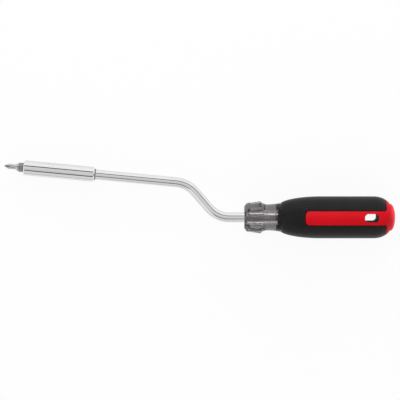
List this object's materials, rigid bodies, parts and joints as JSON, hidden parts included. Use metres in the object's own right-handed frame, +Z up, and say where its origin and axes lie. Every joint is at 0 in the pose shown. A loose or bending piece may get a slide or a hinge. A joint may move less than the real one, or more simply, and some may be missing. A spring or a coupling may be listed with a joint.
{
  "type": "offset screwdriver",
  "caption": "Cranked screwdriver with a bent chromed shank, a free-turning guide sleeve, a removable cross-head bit and a ribbed soft-grip handle with a lanyard slot.",
  "frame": {"origin": "bottom centre of the bounding box, on the bench that the tool lies on", "axes": "+X along the handle towards its butt, +Z up from the bench, +Y the side that the crank stands off to; the tool is rolled 16.5 degrees about X until the sleeve's front edge meets the bench"},
  "size_m": [0.3045, 0.0594, 0.0328],
  "materials": {
    "shank_chrome": "polished",
    "sleeve_chrome": "polished",
    "smoke_clear": "gloss",
    "black_rubber": "matte",
    "red_plastic": "satin",
    "cap_red": "satin",
    "holder_steel": "satin",
    "magnet_nickel": "satin",
    "spring_steel": "satin",
    "black_steel": "satin",
    "bush_bronze": "satin",
    "bit_steel": "satin"
  },
  "bodies": {
    "driver": {"shank": "shank_chrome", "handle_core": "smoke_clear", "soft_grip": "black_rubber", "strips_and_collar": "red_plastic", "end_cap": "cap_red", "bit_holder": "holder_steel", "holder_magnet": "magnet_nickel", "bit_clip": "spring_steel", "sleeve_ring": "black_steel"},
    "sleeve": {"guide_sleeve": "sleeve_chrome", "front_bush": "bush_bronze", "rear_bush": "bush_bronze"},
    "bit": {"bit": "bit_steel"}
  },
  "joints": [
    {"name": "sleeve_spin", "type": "hinge", "parent": "driver", "child": "sleeve", "pos_m": [-0.10954, 0.02142, 0.00655], "axis": [-0.9955, 0.0914, -0.0259], "continuous": true},
    {"name": "bit_slide", "type": "slide", "parent": "driver", "child": "bit", "axis": [-0.9955, 0.0914, -0.0259], "range_m": [0, 0.008]}
  ]
}
